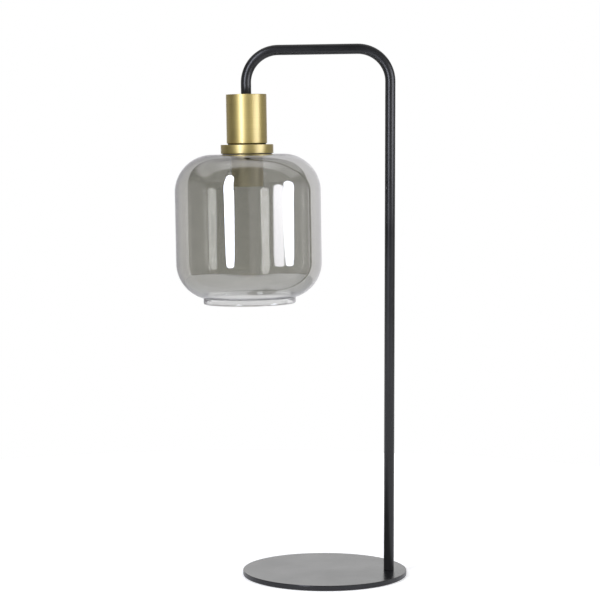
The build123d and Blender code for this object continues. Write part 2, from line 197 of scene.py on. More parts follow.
def lathe(outline, around, thread=None):
    """Closed outline of (radius, height) points turned about Z. thread moves a point by its angle."""
    bm = bmesh.new()
    rings = []
    for i in range(around):
        angle = tau * i / around
        ring = []
        for r, z in outline:
            if thread:
                r, z = thread(r, z, angle)
            ring.append(bm.verts.new((r * cos(angle), r * sin(angle), z)))
        rings.append(ring)
    count = len(outline)
    for i in range(around):
        near, far = rings[i], rings[(i + 1) % around]
        for j in range(count):
            k = (j + 1) % count
            bm.faces.new((near[j], far[j], far[k], near[k]))
    return bm


def tube_stations():
    """Middle line of the bent tube from foot to head: points, each with its direction."""
    corners = [Vector((COLUMN_X, 0, PLATE_TOP)), corner_high, corner_head, head_origin]
    stations = [(corners[0], (corners[1] - corners[0]).normalized())]
    for before, here, after in zip(corners, corners[1:], corners[2:]):
        come = (here - before).normalized()
        go = (after - here).normalized()
        turn = come.angle(go)
        reach = BEND_RADIUS * tan(turn / 2)
        centre = here + (go - come).normalized() * (BEND_RADIUS / cos(turn / 2))
        spoke = here - come * reach - centre
        axis = come.cross(go).normalized()
        for i in range(BEND_STEPS + 1):
            swing = Matrix.Rotation(turn * i / BEND_STEPS, 3, axis)
            stations.append((centre + swing @ spoke, swing @ come))
    stations.append((corners[-1], (corners[-1] - corners[-2]).normalized()))
    return stations


def bent_tube():
    """The tube with its wall, its square ends slightly broken."""
    bm = bmesh.new()
    side = Vector((0, 1, 0))
    (foot, foot_way), *middle, (head, head_way) = tube_stations()
    path = [(foot, foot_way, -TUBE_BREAK), (foot + foot_way * TUBE_BREAK, foot_way, 0)]
    path += [(point, ahead, 0) for point, ahead in middle]
    path += [(head - head_way * TUBE_BREAK, head_way, 0), (head, head_way, -TUBE_BREAK)]
    turns = [tau * i / TUBE_AROUND for i in range(TUBE_AROUND)]
    skins = []
    for radius, way in ((TUBE_RADIUS, 1), (TUBE_RADIUS - TUBE_WALL, -1)):
        rings = []
        for point, ahead, growth in path:
            up = side.cross(ahead)
            size = radius + way * growth
            rings.append([bm.verts.new(point + (side * cos(a) + up * sin(a)) * size) for a in turns])
        for near, far in zip(rings, rings[1:]):
            for i in range(TUBE_AROUND):
                k = (i + 1) % TUBE_AROUND
                bm.faces.new((near[i], near[k], far[k], far[i]))
        skins.append(rings)
    for end in (0, -1):
        outer, inner = skins[0][end], skins[1][end]
        for i in range(TUBE_AROUND):
            k = (i + 1) % TUBE_AROUND
            bm.faces.new((outer[i], outer[k], inner[k], inner[i]))
    return bm


def shade_outline():
    """Outline of the glass: outside from the hole to the rim, then back inside."""
    shoulder = (SHADE_RADIUS - SHOULDER_RADIUS, GLASS_TOP - SHOULDER_RADIUS)
    corner_r = SHADE_RADIUS - CORNER_RADIUS
    corner_z = MOUTH + COLLAR_HEIGHT + sqrt(CORNER_RADIUS**2 - (COLLAR_RADIUS - corner_r) ** 2)
    corner = (corner_r, corner_z)
    blend_r = COLLAR_RADIUS + COLLAR_BLEND
    reach = CORNER_RADIUS + COLLAR_BLEND
    blend_z = corner_z - sqrt(reach**2 - (blend_r - corner_r) ** 2)
    share = CORNER_RADIUS / reach
    blend_start = (corner_r + (blend_r - corner_r) * share, corner_z + (blend_z - corner_z) * share)
    under = GLASS_TOP - GLASS_WALL
    side_in = SHADE_RADIUS - GLASS_WALL
    collar_in = COLLAR_RADIUS - COLLAR_WALL
    inside_z = corner_z - sqrt((CORNER_RADIUS - GLASS_WALL) ** 2 - (collar_in - corner_r) ** 2)
    rim = (COLLAR_RADIUS - COLLAR_WALL / 2, MOUTH + COLLAR_WALL / 2)
    edge = SHADE_HOLE + HOLE_ROUNDING
    low, high = under + HOLE_ROUNDING, GLASS_TOP - HOLE_ROUNDING
    outline = swept((edge, low), (edge, under), (SHADE_HOLE, low), HOLE_STEPS)
    outline += swept((edge, high), (SHADE_HOLE, high), (edge, GLASS_TOP), HOLE_STEPS)
    outline += [(r, GLASS_TOP) for r in GLASS_FLAT]
    outline += swept(shoulder, (shoulder[0], GLASS_TOP), (SHADE_RADIUS, shoulder[1]), SHOULDER_STEPS)
    outline += wall(SHADE_RADIUS, shoulder[1], corner_z, SIDE_ROWS)[1:-1]
    outline += swept(corner, (SHADE_RADIUS, corner_z), blend_start, CORNER_STEPS)
    outline += swept((blend_r, blend_z), blend_start, (COLLAR_RADIUS, blend_z), BLEND_STEPS)[1:]
    outline += swept(rim, (COLLAR_RADIUS, rim[1]), (rim[0], MOUTH), RIM_STEPS)
    outline += swept(rim, (rim[0], MOUTH), (collar_in, rim[1]), RIM_STEPS)[1:]
    outline += swept(corner, (collar_in, inside_z), (side_in, corner_z), CORNER_STEPS)
    outline += wall(side_in, corner_z, shoulder[1], SIDE_ROWS)[1:-1]
    outline += swept(shoulder, (side_in, shoulder[1]), (shoulder[0], under), SHOULDER_STEPS)
    outline += [(r, under) for r in reversed(GLASS_FLAT)]
    return outline


def sleeve_outline():
    """Outline of the clamping sleeve: threaded neck, shoulder, plain wall, lip and bore."""
    high, low = SLEEVE_TOP - SLEEVE_ROUNDING, SLEEVE_BOTTOM + SLEEVE_ROUNDING
    inner = SLEEVE_RADIUS - SLEEVE_ROUNDING
    lip_top = SLEEVE_BOTTOM + SLEEVE_LIP
    shoulder = SLEEVE_TOP - SLEEVE_SHOULDER
    outline = [(NECK_BORE, NECK_TOP)]
    outline += wall(NECK_RADIUS, NECK_TOP, SLEEVE_TOP, NECK_ROWS)
    outline += swept((inner, high), (inner, SLEEVE_TOP), (SLEEVE_RADIUS, high), ROUNDING_STEPS)
    outline += wall(SLEEVE_RADIUS, high, low, SLEEVE_ROWS)[1:-1]
    outline += swept((inner, low), (SLEEVE_RADIUS, low), (inner, SLEEVE_BOTTOM), ROUNDING_STEPS)
    outline += [(NECK_BORE + SLEEVE_LIP_BREAK, SLEEVE_BOTTOM), (NECK_BORE, SLEEVE_BOTTOM + SLEEVE_LIP_BREAK)]
    outline += [(NECK_BORE, lip_top), (SLEEVE_BORE, lip_top), (SLEEVE_BORE, shoulder), (NECK_BORE, shoulder)]
    return outline


def neck_thread(r, z, angle):
    """Right-hand thread cut into the neck, fading out at both of its ends."""
    if abs(r - NECK_RADIUS) > HAIR or z < SLEEVE_TOP:
        return r, z
    phase = (z / NECK_PITCH - angle / tau) % 1.0
    fade = min(1.0, (NECK_TOP - z) / NECK_THREAD_FADES[0], (z - SLEEVE_TOP) / NECK_THREAD_FADES[1])
    return r - NECK_THREAD_DEPTH * (1 - abs(2 * phase - 1)) * max(0.0, fade), z


def shell_outline():
    """Sheet of the screw shell, with as many points as its round thread needs."""
    inside = wall(SHELL_CREST, SHELL_TOP, SHELL_BOTTOM, SHELL_ROWS)
    return inside + [(r + SHELL_WALL, z) for r, z in reversed(inside)]


def shell_thread(r, z, angle):
    """Right-hand round thread, fading into the plain ends of the sheet."""
    fade = min(1.0, (SHELL_TOP - z) / SHELL_FADE, (z - SHELL_BOTTOM) / SHELL_FADE)
    wave = 0.5 - 0.5 * cos(tau * (z / SHELL_PITCH - angle / tau))
    return r + (SHELL_ROOT - SHELL_CREST) * wave * max(0.0, fade), z


column = piece_from("bent_tube", bent_tube(), "stand", "column_tube")

cup_outline = eased(
    [
        (NIPPLE_HOLE, 0, 0.1),
        (CUP_RADIUS, 0, 0.5),
        (CUP_RADIUS, CUP_BOTTOM, 0.45),
        (CUP_RADIUS - CUP_WALL, CUP_BOTTOM, 0.15),
        (CUP_RADIUS - CUP_WALL, -CUP_TOP_WALL, 0.4),
        (NIPPLE_HOLE, -CUP_TOP_WALL, 0.1),
    ]
)
cup = piece_from("brass_cup", lathe(cup_outline, BRASS_AROUND), "stand", "socket_cup", place=HEAD, smooth=40)

ring_outline = eased(
    [
        (RING_BORE, RING_BOTTOM, 0.1),
        (RING_RADIUS, RING_BOTTOM, 0.6),
        (RING_RADIUS, RING_TOP, 0.6),
        (GROOVE_RADIUS, RING_TOP, 0.15),
        (GROOVE_RADIUS, CUP_BOTTOM, 0.1),
        (SPIGOT_RADIUS, CUP_BOTTOM, 0.05),
        (SPIGOT_RADIUS, SPIGOT_TOP, 0.3),
        (SPIGOT_BORE, SPIGOT_TOP, 0.3),
        (SPIGOT_BORE, CUP_BOTTOM, 0.1),
        (RING_BORE, CUP_BOTTOM, 0.1),
    ]
)
gallery = piece_from(
    "brass_ring", lathe(ring_outline, BRASS_AROUND), "stand", "gallery_ring", place=HEAD, smooth=40
)

# Painted shade: the groove between the cup and the ring gets a near-black brass, and the flat tops of both
# get a rougher, unlacquered brass painted darker so that they mirror less light
for face in gallery.data.polygons:
    spot = face.center / MM
    # Faces in the groove take the near-black painted shade
    if RING_TOP - HAIR < spot.z < CUP_BOTTOM + HAIR and hypot(spot.x, spot.y) < GROOVE_REACH:
        face.material_index = 1
    # Flat tops of the ring take the darker brass: painted shade
    elif face.normal.z > FACING_UP and spot.z < RING_TOP + HAIR:
        face.material_index = 2
# The cup's flat top takes the same darker brass: painted shade
for face in cup.data.polygons:
    if face.normal.z > FACING_UP:
        face.material_index = 1

shade = piece_from(
    "smoke_shade", lathe(shade_outline(), GLASS_AROUND), "shade", "glass_shade", place=HEAD, smooth=80
)
sleeve = piece_from(
    "brass_sleeve",
    lathe(sleeve_outline(), SLEEVE_AROUND, neck_thread),
    "clamp_sleeve",
    "clamp_sleeve",
    place=HEAD,
    smooth=50,
)
shell = piece_from(
    "bulb_thread",
    lathe(shell_outline(), SHELL_AROUND, shell_thread),
    "stand",
    "screw_shell",
    place=HEAD,
    smooth=70,
)

# The spring gets a mesh of its own, copied from its CAD node; the real spring shortens between its pocket and
# the head of the contact
spring = bpy.data.objects.new("coil_spring", frame["nodes"]["contact_spring"].data.copy())
bpy.context.collection.objects.link(spring)
spring.data.materials.clear()
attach(spring, "stand")
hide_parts("contact_spring")
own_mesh(spring)


# Shader nodes

MIX_SOCKETS = {"FLOAT": (2, 3, 0), "RGBA": (6, 7, 2)}
FIRST_BOUNCE = 0.5


def add(tree, kind, **settings):
    """Node with its settings; a setting that names an input socket sets its value."""
    node = tree.nodes.new(kind)
    for key, value in settings.items():
        if hasattr(node, key):
            setattr(node, key, value)
        else:
            node.inputs[key.replace("_", " ")].default_value = value
    return node


def feed(tree, source, socket):
    """Link a source to a socket, or set the socket where the source is a number or a colour."""
    if isinstance(source, bpy.types.NodeSocket):
        tree.links.new(source, socket)
    else:
        socket.default_value = source


def calc(tree, operation, first, second=0.0):
    """Result of a Math node for two values, each a socket or a number."""
    node = add(tree, "ShaderNodeMath", operation=operation)
    feed(tree, first, node.inputs[0])
    feed(tree, second, node.inputs[1])
    return node.outputs["Value"]


def product(tree, *factors):
    """Product of values, each a socket or a number."""
    result = factors[0]
    for factor in factors[1:]:
        result = calc(tree, "MULTIPLY", result, factor)
    return result


def mix(tree, kind, factor, first, second):
    """Mix of two values or two colours, each a socket or a constant."""
    node = add(tree, "ShaderNodeMix", data_type=kind)
    first_in, second_in, result_out = MIX_SOCKETS[kind]
    feed(tree, factor, node.inputs[0])
    feed(tree, first, node.inputs[first_in])
    feed(tree, second, node.inputs[second_in])
    return node.outputs[result_out]


def ramp(tree, source, band, levels=(0.0, 1.0), kind="SMOOTHSTEP"):
    """Value that goes from one level to the other as the source crosses a band."""
    node = add(tree, "ShaderNodeMapRange", interpolation_type=kind)
    sockets = ("From Min", "From Max", "To Min", "To Max")
    for socket, value in zip(sockets, (*band, *levels)):
        node.inputs[socket].default_value = value
    feed(tree, source, node.inputs["Value"])
    return node.outputs["Result"]


def parts_of(tree, vector):
    """X, Y and Z of a vector."""
    node = add(tree, "ShaderNodeSeparateXYZ")
    feed(tree, vector, node.inputs["Vector"])
    return [node.outputs[axis] for axis in "XYZ"]


def length_of(tree, vector):
    """Length of a vector."""
    node = add(tree, "ShaderNodeVectorMath", operation="LENGTH")
    feed(tree, vector, node.inputs[0])
    return node.outputs["Value"]


def own_place(tree):
    """Place on the piece, in its own coordinates."""
    return add(tree, "ShaderNodeTexCoord").outputs["Object"]


def seen_straight(tree):
    """1 for what the camera sees directly or straight through glass, else 0."""
    path = add(tree, "ShaderNodeLightPath").outputs
    direct = calc(tree, "MAXIMUM", path["Is Camera Ray"], path["Is Transmission Ray"])
    return product(tree, direct, calc(tree, "LESS_THAN", path["Glossy Depth"], FIRST_BOUNCE))


# Shader node groups

def group_of(name, inputs, outputs):
    """Empty node group with named values: inputs with their defaults, and outputs."""
    tree = bpy.data.node_groups.new(name, "ShaderNodeTree")
    for label, default in inputs.items():
        socket = tree.interface.new_socket(label, in_out="INPUT", socket_type="NodeSocketFloat")
        socket.default_value = default
    for label in outputs:
        tree.interface.new_socket(label, in_out="OUTPUT", socket_type="NodeSocketFloat")
    return tree, tree.nodes.new("NodeGroupInput"), tree.nodes.new("NodeGroupOutput")


def grain_group():
    """Fine grain of a coat or a cast surface: a height, and a slower mottle."""
    tree, given, out = group_of("fine_grain", {"Grain": 900.0, "Mottle": 25.0}, ("Height", "Patches"))
    place = own_place(tree)
    fine = add(tree, "ShaderNodeTexNoise", Detail=3.0, Roughness=0.6)
    slow = add(tree, "ShaderNodeTexNoise", Detail=4.0, Roughness=0.55)
    for noise, scale, result in ((fine, "Grain", "Height"), (slow, "Mottle", "Patches")):
        feed(tree, place, noise.inputs["Vector"])
        feed(tree, given.outputs[scale], noise.inputs["Scale"])
        feed(tree, noise.outputs["Fac"], out.inputs[result])
    return tree


def turning_group():
    """Marks of turning and brushing on a lathe: fine lines round the piece's own axis."""
    tree, given, out = group_of("turning_lines", {"Lines": 4000.0, "Length": 30.0}, ("Height", "Streaks"))
    x, y, z = parts_of(tree, own_place(tree))
    flat = add(tree, "ShaderNodeCombineXYZ")
    feed(tree, x, flat.inputs["X"])
    feed(tree, y, flat.inputs["Y"])
    across = calc(tree, "ADD", length_of(tree, flat.outputs["Vector"]), z)
    spot = add(tree, "ShaderNodeCombineXYZ")
    feed(tree, product(tree, x, given.outputs["Length"]), spot.inputs["X"])
    feed(tree, product(tree, y, given.outputs["Length"]), spot.inputs["Y"])
    feed(tree, product(tree, across, given.outputs["Lines"]), spot.inputs["Z"])
    streaks = add(tree, "ShaderNodeTexNoise", Scale=1.0, Detail=2.0, Roughness=0.7)
    feed(tree, spot.outputs["Vector"], streaks.inputs["Vector"])
    for result in ("Height", "Streaks"):
        feed(tree, streaks.outputs["Fac"], out.inputs[result])
    return tree


GRAIN = grain_group()
TURNING = turning_group()


# Materials

NOISE_BAND = (0.3, 0.7)
GRAIN_BUMP = 0.35
LINES_BUMP = 0.3
LINES_LENGTH = 22.0
ALONG_THE_AXIS = 0.25
LACQUER_ROUGHNESS = 0.25

# Glass: two tones of the smoke, the tone of the clear collar, and heights in metres in the head
SMOKE_TONES = (0.568, 0.562, 0.523), (0.598, 0.592, 0.553)
CLEAR_TONE = (0.75, 0.75, 0.745)
CLEARING = (-0.228, -0.256)
SIDE_COAT = (-0.12, -0.25), (1.0, 0.6)
HOLE_COAT = (-0.0745, -0.077), (0.2, 1.0)
WAVE_BUMP = 0.025
WAVE_DEPTH = 0.0005


def grey(level):
    """Colour without a hue."""
    return (level, level, level)


def finish(name):
    """New material with its node tree and its Principled shader."""
    material = bpy.data.materials.new(name)
    material.use_nodes = True
    return material, material.node_tree, material.node_tree.nodes["Principled BSDF"]


def steady(shader, **values):
    """Set the shader's sockets that are the same all over the surface."""
    for key, value in values.items():
        shader.inputs[key.replace("_", " ")].default_value = value


def put(tree, group, **values):
    """Node group placed in a material with its own values."""
    node = tree.nodes.new("ShaderNodeGroup")
    node.node_tree = group
    for key, value in values.items():
        node.inputs[key].default_value = value
    return node.outputs


def between(tree, mask, levels):
    """Value that runs between two levels as a noise mask runs over its usual middle band."""
    return ramp(tree, mask, NOISE_BAND, levels, "LINEAR")


def shades(tree, mask, dark, light):
    """Colour that runs between two shades with a noise mask."""
    return mix(tree, "RGBA", between(tree, mask, (0.0, 1.0)), (*dark, 1), (*light, 1))


def bump(tree, shader, height, strength, distance):
    """Relief on the shader's normal."""
    node = add(tree, "ShaderNodeBump", Strength=strength, Distance=distance)
    feed(tree, height, node.inputs["Height"])
    feed(tree, node.outputs["Normal"], shader.inputs["Normal"])


def grained(name, dark, light, rough, grain, mottle, depth, metallic=0.0):
    """Finish with fine grain: a coat, a moulding, a plating or a glaze."""
    material, tree, shader = finish(name)
    marks = put(tree, GRAIN, Grain=grain, Mottle=mottle)
    feed(tree, shades(tree, marks["Patches"], dark, light), shader.inputs["Base Color"])
    feed(tree, between(tree, marks["Patches"], rough), shader.inputs["Roughness"])
    bump(tree, shader, marks["Height"], GRAIN_BUMP, depth)
    steady(shader, Metallic=metallic)
    return material


def turned_metal(
    name, dark, light, rough, lines, depth, stretch=0.0, lacquer=0.0, edge=(1, 1, 1), metallic=1.0
):
    """Metal with the lines of turning and brushing round its axis. stretch draws its highlights out along
    the axis, lacquer is the weight of a clear coat, and edge tints what it mirrors at a slant."""
    material, tree, shader = finish(name)
    marks = put(tree, TURNING, Lines=lines, Length=LINES_LENGTH)
    feed(tree, shades(tree, marks["Streaks"], dark, light), shader.inputs["Base Color"])
    feed(tree, between(tree, marks["Streaks"], rough), shader.inputs["Roughness"])
    bump(tree, shader, marks["Height"], LINES_BUMP, depth)
    steady(shader, Metallic=metallic, Specular_Tint=(*edge, 1))
    steady(shader, Anisotropic=stretch, Anisotropic_Rotation=ALONG_THE_AXIS)
    steady(shader, Coat_Weight=lacquer, Coat_Roughness=LACQUER_ROUGHNESS)
    return material


def smoke_glass():
    """Glass with a thin smoke coat that mirrors more than bare glass does. The smoke clears towards the
    collar, and the coat is thinner down the side and round the hole."""
    material, tree, shader = finish("smoke_glass")
    waves = put(tree, GRAIN, Grain=14.0, Mottle=9.0)
    smoke = shades(tree, waves["Patches"], *SMOKE_TONES)
    height = parts_of(tree, own_place(tree))[2]
    tint = mix(tree, "RGBA", ramp(tree, height, CLEARING), smoke, (*CLEAR_TONE, 1))
    feed(tree, tint, shader.inputs["Base Color"])
    side, hole = (ramp(tree, height, *coat, "LINEAR") for coat in (SIDE_COAT, HOLE_COAT))
    feed(tree, product(tree, side, hole), shader.inputs["Coat Weight"])
    bump(tree, shader, waves["Height"], WAVE_BUMP, WAVE_DEPTH)
    steady(shader, Roughness=0.0, IOR=1.5, Transmission_Weight=1.0, Coat_IOR=2.1, Coat_Roughness=0.0)
    return material


FINISHES = {
    "black_coat": grained(
        "black_powder_coat",
        dark=grey(0.008),
        light=grey(0.013),
        rough=(0.28, 0.35),
        grain=1400.0,
        mottle=22.0,
        depth=0.000006,
    ),
    "brass": turned_metal(
        "brushed_brass",
        dark=(0.56, 0.45, 0.165),
        light=(0.64, 0.52, 0.195),
        rough=(0.5, 0.56),
        lines=2600.0,
        depth=0.000003,
        stretch=0.4,
        lacquer=1.0,
        edge=(0.3, 0.22, 0.08),
    ),
    "smoke_glass": smoke_glass(),
    "rubber_pad": grained(
        "black_rubber_pad",
        dark=grey(0.012),
        light=grey(0.03),
        rough=(0.75, 0.9),
        grain=700.0,
        mottle=30.0,
        depth=0.0001,
    ),
    "zinc_steel": grained(
        "zinc_plated_steel",
        dark=(0.55, 0.55, 0.57),
        light=(0.68, 0.68, 0.69),
        rough=(0.25, 0.4),
        grain=2500.0,
        mottle=150.0,
        depth=0.00001,
        metallic=1.0,
    ),
    "spring_steel": grained(
        "spring_steel",
        dark=(0.42, 0.42, 0.44),
        light=(0.55, 0.55, 0.56),
        rough=(0.22, 0.35),
        grain=2500.0,
        mottle=300.0,
        depth=0.00001,
        metallic=1.0,
    ),
    "black_plastic": grained(
        "black_moulding",
        dark=(0.015, 0.015, 0.016),
        light=grey(0.03),
        rough=(0.4, 0.55),
        grain=1500.0,
        mottle=60.0,
        depth=0.00003,
    ),
    "ceramic": grained(
        "white_ceramic",
        dark=(0.74, 0.72, 0.67),
        light=(0.82, 0.81, 0.77),
        rough=(0.18, 0.3),
        grain=600.0,
        mottle=80.0,
        depth=0.00004,
    ),
    "contact_metal": turned_metal(
        "contact_brass",
        dark=(0.70, 0.58, 0.32),
        light=(0.82, 0.72, 0.46),
        rough=(0.2, 0.32),
        lines=6000.0,
        depth=0.00001,
    ),
    "silicone": grained(
        "dark_silicone",
        dark=grey(0.02),
        light=grey(0.04),
        rough=(0.5, 0.65),
        grain=900.0,
        mottle=60.0,
        depth=0.00003,
    ),
    "flex_sheath": grained(
        "black_flex_sheath",
        dark=grey(0.012),
        light=grey(0.025),
        rough=(0.45, 0.6),
        grain=900.0,
        mottle=60.0,
        depth=0.00003,
    ),
    "brown_core": grained(
        "brown_core_sheath",
        dark=(0.16, 0.07, 0.03),
        light=(0.2, 0.09, 0.04),
        rough=(0.35, 0.5),
        grain=900.0,
        mottle=60.0,
        depth=0.00002,
    ),
    "blue_core": grained(
        "blue_core_sheath",
        dark=(0.02, 0.08, 0.3),
        light=(0.03, 0.1, 0.36),
        rough=(0.35, 0.5),
        grain=900.0,
        mottle=60.0,
        depth=0.00002,
    ),
}
PLATE_COAT = grained(
    "smooth_black_coat",
    dark=(0.008, 0.008, 0.009),
    light=(0.013, 0.013, 0.014),
    rough=(0.21, 0.27),
    grain=900.0,
    mottle=14.0,
    depth=0.000004,
)
# Near-black brass for the groove between the cup and the ring: painted shade
GROOVE_PAINTED_SHADE = turned_metal(
    "groove_painted_shade",
    dark=(0.02, 0.016, 0.01),
    light=(0.035, 0.028, 0.016),
    rough=(0.5, 0.6),
    lines=2600.0,
    depth=0.000003,
)
# Rougher, unlacquered brass for the flat tops, its colour painted darker than the brass beside it: painted
# shade that dims their glare
TOP_BRASS_PAINTED_DARKER = turned_metal(
    "bare_top_brass_painted_shade",
    dark=(0.46, 0.37, 0.135),
    light=(0.54, 0.435, 0.16),
    rough=(0.7, 0.8),
    lines=2600.0,
    depth=0.000003,
    edge=(0.3, 0.22, 0.08),
)
# Pale, half-diffuse brass for the sleeve: a satin finish, with painted light that makes up for the light the
# glass keeps from it
SLEEVE_BRASS_PAINTED_LIGHT = turned_metal(
    "satin_sleeve_brass_painted_light",
    dark=(0.88, 0.80, 0.57),
    light=(0.94, 0.86, 0.62),
    rough=(0.5, 0.56),
    lines=2600.0,
    depth=0.000003,
    stretch=0.35,
    metallic=0.5,
)

slots = {entry["node"]: entry["material_slot"] for entry in frame["record"]["subparts"]}
for node, solid in frame["nodes"].items():
    solid.data.materials.clear()
    solid.data.materials.append(PLATE_COAT if node == "base_plate" else FINISHES[slots[node]])
# The sleeve takes the paler brass with its painted light instead of the plain brass
for piece, slot in (
    (column, "black_coat"),
    (cup, "brass"),
    (gallery, "brass"),
    (shade, "smoke_glass"),
    (sleeve, "brass"),
    (shell, "contact_metal"),
    (spring, "spring_steel"),
):
    piece.data.materials.append(SLEEVE_BRASS_PAINTED_LIGHT if piece is sleeve else FINISHES[slot])
# The groove and the flat tops take their painted-shade materials
for piece, shaded_material in ((gallery, GROOVE_PAINTED_SHADE), (gallery, TOP_BRASS_PAINTED_DARKER), (cup, TOP_BRASS_PAINTED_DARKER)):
    piece.data.materials.append(shaded_material)

# Mirrored rays pass by the cup and the CAD solids, so the glass shows only the tube, the ring and the sleeve
for solid in (cup, *frame["nodes"].values()):
    solid.visible_glossy = False


# Floor, studio light and camera. Lengths are in metres

WHITE = (1, 1, 1, 1)

FLOOR_PLACE = (-0.1, 0.1, -0.0002)
FLOOR_RADIUS = 0.95
FLOOR_SIDES = 96
FLOOR_TONES = grey(0.86), grey(0.88)
FLOOR_FRONT = (-0.5, -0.85)
FLOOR_FRONT_TONE = grey(0.02)
FLOOR_GLOW = (0.15, 0.7), (0.55, 1.0)
FLOOR_MIRRORED_GLOW = 0.12

# Levels of the studio. Brushed surfaces see the dull ones
LEFT_WALL = 0.65
RIGHT_WALL = 1.08
DULL_LEFT_WALL = LEFT_WALL * 0.75
DULL_RIGHT_WALL = RIGHT_WALL * 0.45
BACK_WALL = 0.62
DULL_BACK_WALL = 1.18
CEILING = 0.47
DIM_FRONT = 0.02
LIT_FRONT = 0.18
ROOM_LIGHT = 0.35
MIRRORED_TONE = (0.995, 0.985, 1.02)

# Bands of directions over which one level turns into another, some with those levels
LEFT_TO_RIGHT = (-0.2, 0.2)
MIDDLE_TO_RIGHT = (0.0, 0.2)
WALL_EDGE = (0.28, 0.34)
WALL_LEAN = (1.1, 0.7)
WALL_SHIFT = (0.0, 0.05)
WALL_FADE = (0.6, 0.95), (1.0, 0.7)
BACK_EDGE = (0.9, 0.975)
DULL_BACK_EDGE = (0.8, 0.95)
CEILING_EDGE = (0.52, 0.66)
CEILING_SHIFT = (0.0, 0.07)
CEILING_FRONT = (-0.2, 0.0)
CEILING_OVERHEAD = (0.8, 0.97), (1.0, 1.75)
CEILING_RIGHT = (1.0, 1.08)
FRONT_LEFT = (-0.86, -0.96)
FRONT_RIGHT = (-0.03, 0.12)
FRONT_FAR_RIGHT = (0.85, 1.0)

SHADE_MIDDLE = Vector((-0.096, 0, 0.43))
PANEL_DISTANCE = 1.5
COOL_TONE = (0.95, 0.98, 1.13)
SOFT_TONE = (1.0, 0.99, 1.05)

CAMERA_PLACE = (-0.03093, -2.5858, 0.5382)
CAMERA_TILT = 4.30
CAMERA_LENS = 125.7
SENSOR_WIDTH = 36.0
CAMERA_REACH = 50.0


def studio_floor():
    """White disc that keeps the shadow of the lamp. It is white where it is seen directly, and in mirrored
    rays its front turns dark."""
    bm = bmesh.new()
    middle = Matrix.Translation(FLOOR_PLACE)
    bmesh.ops.create_circle(bm, cap_ends=True, segments=FLOOR_SIDES, radius=FLOOR_RADIUS, matrix=middle)
    mesh = bpy.data.meshes.new("studio_floor")
    bm.to_mesh(mesh)
    bm.free()
    disc = bpy.data.objects.new("studio_floor", mesh)
    bpy.context.collection.objects.link(disc)
    material, tree, shader = finish("studio_floor")
    white = shades(tree, put(tree, GRAIN, Grain=300.0, Mottle=3.0)["Patches"], *FLOOR_TONES)
    place = own_place(tree)
    glossy = add(tree, "ShaderNodeLightPath").outputs["Is Glossy Ray"]
    front = product(tree, glossy, ramp(tree, parts_of(tree, place)[1], FLOOR_FRONT))
    tint = mix(tree, "RGBA", front, white, (*FLOOR_FRONT_TONE, 1))
    feed(tree, tint, shader.inputs["Base Color"])
    direct = product(tree, seen_straight(tree), ramp(tree, length_of(tree, place), *FLOOR_GLOW))
    mirrored = product(tree, calc(tree, "SUBTRACT", glossy, front), FLOOR_MIRRORED_GLOW)
    feed(tree, calc(tree, "MAXIMUM", direct, mirrored), shader.inputs["Emission Strength"])
    steady(shader, Roughness=0.9, Specular_IOR_Level=0.0, Emission_Color=WHITE)
    disc.data.materials.append(material)


def studio_world():
    """White where it is seen directly. Mirrored rays see a studio: a backdrop, walls at both sides, a ceiling
    and a dim front, at other levels in the glass than on brushed surfaces."""
    world = bpy.data.worlds.new("studio")
    bpy.context.scene.world = world
    world.use_nodes = True
    world.cycles.sampling_method = "NONE"
    tree = world.node_tree
    tree.nodes.clear()
    across, behind, up = parts_of(tree, add(tree, "ShaderNodeTexCoord").outputs["Generated"])
    path = add(tree, "ShaderNodeLightPath").outputs
    sharp = path["Is Singular Ray"]
    mirrored = calc(tree, "GREATER_THAN", path["Glossy Depth"], FIRST_BOUNCE)

    sides = mix(
        tree,
        "FLOAT",
        sharp,
        ramp(tree, across, LEFT_TO_RIGHT, (DULL_LEFT_WALL, DULL_RIGHT_WALL)),
        ramp(tree, across, LEFT_TO_RIGHT, (LEFT_WALL, RIGHT_WALL)),
    )
    rise = calc(tree, "POWER", calc(tree, "MAXIMUM", up, 0.0), 2.0)
    lean = product(tree, rise, ramp(tree, across, LEFT_TO_RIGHT, WALL_LEAN))
    lean = calc(tree, "ADD", lean, ramp(tree, across, LEFT_TO_RIGHT, WALL_SHIFT))
    edge = ramp(tree, calc(tree, "SUBTRACT", behind, lean), WALL_EDGE)
    sides = product(tree, edge, sides, ramp(tree, behind, *WALL_FADE))
    backdrop = mix(
        tree,
        "FLOAT",
        sharp,
        ramp(tree, behind, DULL_BACK_EDGE, (0.0, DULL_BACK_WALL)),
        ramp(tree, behind, BACK_EDGE, (0.0, BACK_WALL)),
    )
    walls = calc(tree, "MAXIMUM", sides, backdrop)

    high = calc(tree, "ADD", up, ramp(tree, across, MIDDLE_TO_RIGHT, CEILING_SHIFT))
    ceiling = product(
        tree,
        ramp(tree, high, CEILING_EDGE),
        ramp(tree, behind, CEILING_FRONT, (0.0, CEILING)),
        ramp(tree, up, *CEILING_OVERHEAD),
        ramp(tree, across, MIDDLE_TO_RIGHT, CEILING_RIGHT),
    )

    front_left, front_right = (
        ramp(tree, across, band, (DIM_FRONT, LIT_FRONT)) for band in (FRONT_LEFT, FRONT_RIGHT)
    )
    front = calc(tree, "MAXIMUM", front_left, front_right)
    front = calc(tree, "ADD", front, ramp(tree, across, FRONT_FAR_RIGHT, (0.0, LIT_FRONT)))

    studio = calc(tree, "MAXIMUM", calc(tree, "MAXIMUM", walls, ceiling), front)
    level = mix(tree, "FLOAT", mirrored, 1.0, studio)
    level = mix(tree, "FLOAT", path["Is Diffuse Ray"], level, ROOM_LIGHT)
    tone = mix(tree, "RGBA", product(tree, mirrored, sharp), WHITE, (*MIRRORED_TONE, 1))
    background = add(tree, "ShaderNodeBackground")
    feed(tree, level, background.inputs["Strength"])
    feed(tree, tone, background.inputs["Color"])
    out = add(tree, "ShaderNodeOutputWorld")
    feed(tree, background.outputs["Background"], out.inputs["Surface"])


